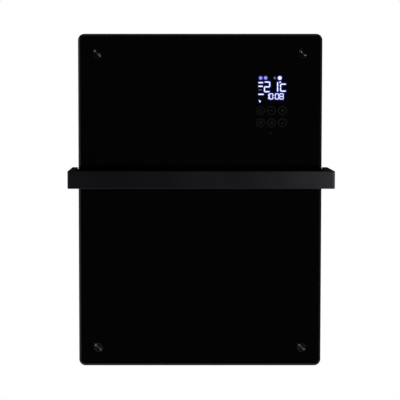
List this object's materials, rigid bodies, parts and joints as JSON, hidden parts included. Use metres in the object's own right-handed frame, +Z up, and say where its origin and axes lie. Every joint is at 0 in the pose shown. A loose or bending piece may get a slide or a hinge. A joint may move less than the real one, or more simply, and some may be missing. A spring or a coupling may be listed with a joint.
{
  "type": "glass convector heater",
  "caption": "Wall-hung convector heater with a black glass front, a touch display and a towel rail across the glass.",
  "frame": {"origin": "on the wall, at the centre of the wall bracket's four fixing holes", "axes": "+Z up, +Y into the wall so the glass faces -Y, +X to the right seen from the front"},
  "size_m": [0.528, 0.1542, 0.686],
  "materials": {
    "black_glass": "polished, printed opaque black behind",
    "rail_black": "satin anodised black",
    "turned_metal": "circular turned dark chrome",
    "casing_black": "fine textured powder coat",
    "grille_black": "fine grained",
    "zinc_steel": "zinc plated",
    "bright_steel": "plated",
    "black_steel": "black oxide",
    "shield_aluminium": "bright rolled",
    "cast_aluminium": "extruded, heat dulled",
    "sheath_steel": "heat toned",
    "ceramic": "unglazed ceramic",
    "spacer_nylon": "nylon",
    "clear_nylon": "natural nylon",
    "black_rubber": "soft",
    "board_green": "solder resist",
    "relay_black": "moulded",
    "rocker_black": "moulded",
    "winding_yellow": "taped winding and laminated core",
    "sleeve_black": "shrink sleeve",
    "terminal_white": "moulded",
    "housing_grey": "moulded",
    "foam_black": "foam tape",
    "display_face": "dark filter over lit digits",
    "tab_brass": "tinned",
    "gland_black": "nylon",
    "ribbon_grey": "flat cable",
    "lead_brown": "silicone",
    "lead_blue": "silicone",
    "lead_earth": "green and yellow",
    "lead_white": "fine twin lead"
  },
  "bodies": {
    "wall": {"wall_bracket": "zinc_steel"},
    "rocker": {"switch_rocker": "rocker_black"},
    "heater": {"glass_panel": "black_glass", "towel_rail": "rail_black", "screw_caps": "turned_metal", "rear_casing": "casing_black", "front_plate": "casing_black", "rail_bracket_left": "casing_black", "rail_bracket_right": "casing_black", "outlet_grille": "grille_black", "chamber_wall": "zinc_steel", "element_brackets": "zinc_steel", "glass_screws": "bright_steel", "rivet_nuts": "bright_steel", "bracket_screws": "bright_steel", "casing_screws": "bright_steel", "display_screws": "bright_steel", "earth_screw": "bright_steel", "rail_screws": "black_steel", "heat_shield": "shield_aluminium", "heating_element": "cast_aluminium", "element_rod": "sheath_steel", "thermal_cutout": "sheath_steel", "element_insulators": "ceramic", "glass_spacers": "spacer_nylon", "rail_end_plugs": "spacer_nylon", "board_standoffs": "spacer_nylon", "glass_washers": "clear_nylon", "wall_bumpers": "black_rubber", "lead_grommet": "black_rubber", "touch_pads": "black_rubber", "power_board": "board_green", "display_board": "board_green", "power_relay": "relay_black", "buzzer": "relay_black", "switch_body": "relay_black", "transformer": "winding_yellow", "capacitor": "sleeve_black", "terminal_block": "terminal_white", "room_sensor": "terminal_white", "display_housing": "housing_grey", "display_tape": "foam_black", "led_display": "display_face", "switch_terminals": "tab_brass", "cable_gland": "gland_black", "gland_nut": "gland_black", "ribbon_cable": "ribbon_grey", "live_lead": "lead_brown", "switch_lead": "lead_brown", "cutout_lead": "lead_brown", "element_lead_right": "lead_brown", "neutral_lead": "lead_blue", "element_lead_left": "lead_blue", "earth_lead": "lead_earth", "sensor_lead": "lead_white"}
  },
  "joints": [
    {"name": "lift_off", "type": "slide", "parent": "wall", "child": "heater", "axis": [0, 0, 1], "range_m": [0, 0.012]},
    {"name": "switch_rock", "type": "hinge", "parent": "heater", "child": "rocker", "pos_m": [0.2264, -0.046, -0.38], "axis": [0, 1, 0], "range_deg": [0, 20]}
  ]
}
